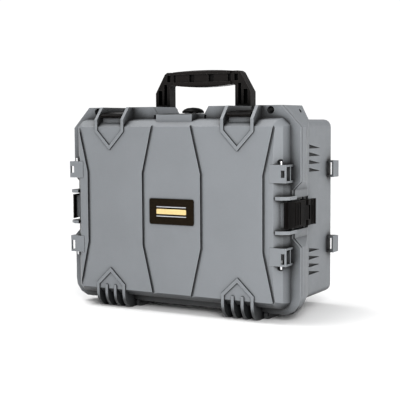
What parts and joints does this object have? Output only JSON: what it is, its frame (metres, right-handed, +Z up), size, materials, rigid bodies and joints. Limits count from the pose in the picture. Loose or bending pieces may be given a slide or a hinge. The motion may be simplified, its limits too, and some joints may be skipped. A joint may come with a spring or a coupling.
{
  "type": "drone carrying case",
  "caption": "Hard-shell carrying case with a hinged ribbed lid, lever latches on the top and sides, a folding carry handle, a pressure valve and foam fitted for a drone.",
  "frame": {"origin": "middle of the case's footprint, on the surface that it stands on", "axes": "+Z up, +Y from the lid towards the back of the base, +X to the right as seen from the lid"},
  "size_m": [0.46, 0.226, 0.4285],
  "materials": {
    "grey_shell": "fine moulded texture, satin",
    "black_plastic": "satin",
    "grip_rubber": "soft satin",
    "rubber": "matt",
    "foam": "open-cell foam",
    "steel": "bright drawn pin",
    "plate": "dark satin label plate with plain bars"
  },
  "bodies": {
    "base": {"base_shell": "grey_shell", "base_foam": "foam", "base_floor_pad": "foam", "valve_body": "black_plastic", "handle_pin_left": "steel", "hinge_pin_left": "steel", "lug_pin_base_left_lower": "steel", "lug_pin_base_left_upper": "steel", "handle_pin_right": "steel", "hinge_pin_right": "steel", "lug_pin_base_right_lower": "steel", "lug_pin_base_right_upper": "steel", "latch_pin_top_left": "steel", "latch_pin_top_right": "steel", "latch_pin_side_left": "steel", "latch_pin_side_right": "steel"},
    "lid": {"lid_shell": "grey_shell", "nameplate": "plate", "lid_seal": "rubber", "lid_foam": "foam", "lug_pin_lid_left_lower": "steel", "lug_pin_lid_left_upper": "steel", "lug_pin_lid_right_lower": "steel", "lug_pin_lid_right_upper": "steel"},
    "handle": {"handle_frame": "black_plastic", "handle_grip": "grip_rubber"},
    "valve_knob": {"valve_knob": "black_plastic"},
    "lever_top_left": {"latch_lever_top_left": "black_plastic", "claw_pin_top_left": "steel"},
    "claw_top_left": {"latch_claw_top_left": "black_plastic"},
    "lever_top_right": {"latch_lever_top_right": "black_plastic", "claw_pin_top_right": "steel"},
    "claw_top_right": {"latch_claw_top_right": "black_plastic"},
    "lever_side_left": {"latch_lever_side_left": "black_plastic", "claw_pin_side_left": "steel"},
    "claw_side_left": {"latch_claw_side_left": "black_plastic"},
    "lever_side_right": {"latch_lever_side_right": "black_plastic", "claw_pin_side_right": "steel"},
    "claw_side_right": {"latch_claw_side_right": "black_plastic"}
  },
  "joints": [
    {"name": "lid_hinge", "type": "hinge", "parent": "base", "child": "lid", "pos_m": [0, -0.07375, 0.008], "axis": [1, 0, 0], "range_deg": [0, 94]},
    {"name": "handle_fold", "type": "hinge", "parent": "base", "child": "handle", "pos_m": [0, 0.008, 0.352], "axis": [1, 0, 0], "range_deg": [-90, 0]},
    {"name": "valve_turn", "type": "hinge", "parent": "base", "child": "valve_knob", "pos_m": [0, -0.034, 0.351], "axis": [0, 0, 1], "range_deg": [0, 90]},
    {"name": "latch_top_left", "type": "hinge", "parent": "base", "child": "lever_top_left", "pos_m": [-0.129, -0.028, 0.343], "axis": [1, 0, 0], "range_deg": [0, 80]},
    {"name": "claw_top_left", "type": "hinge", "parent": "lever_top_left", "child": "claw_top_left", "pos_m": [-0.129, -0.03, 0.35], "axis": [-1, 0, 0], "range_deg": [0, 104.5]},
    {"name": "latch_top_right", "type": "hinge", "parent": "base", "child": "lever_top_right", "pos_m": [0.129, -0.028, 0.343], "axis": [1, 0, 0], "range_deg": [0, 80]},
    {"name": "claw_top_right", "type": "hinge", "parent": "lever_top_right", "child": "claw_top_right", "pos_m": [0.129, -0.03, 0.35], "axis": [-1, 0, 0], "range_deg": [0, 104.5]},
    {"name": "latch_side_left", "type": "hinge", "parent": "base", "child": "lever_side_left", "pos_m": [-0.2115, -0.028, 0.181], "axis": [0, 0, 1], "range_deg": [0, 80]},
    {"name": "claw_side_left", "type": "hinge", "parent": "lever_side_left", "child": "claw_side_left", "pos_m": [-0.2185, -0.03, 0.181], "axis": [0, 0, -1], "range_deg": [0, 104.5]},
    {"name": "latch_side_right", "type": "hinge", "parent": "base", "child": "lever_side_right", "pos_m": [0.2115, -0.028, 0.181], "axis": [0, 0, -1], "range_deg": [0, 80]},
    {"name": "claw_side_right", "type": "hinge", "parent": "lever_side_right", "child": "claw_side_right", "pos_m": [0.2185, -0.03, 0.181], "axis": [0, 0, 1], "range_deg": [0, 104.5]}
  ],
  "couplings": [
    {"joint": "claw_top_left", "follows": "latch_top_left", "ratio": 1.3},
    {"joint": "claw_top_right", "follows": "latch_top_right", "ratio": 1.3},
    {"joint": "claw_side_left", "follows": "latch_side_left", "ratio": 1.3},
    {"joint": "claw_side_right", "follows": "latch_side_right", "ratio": 1.3}
  ]
}
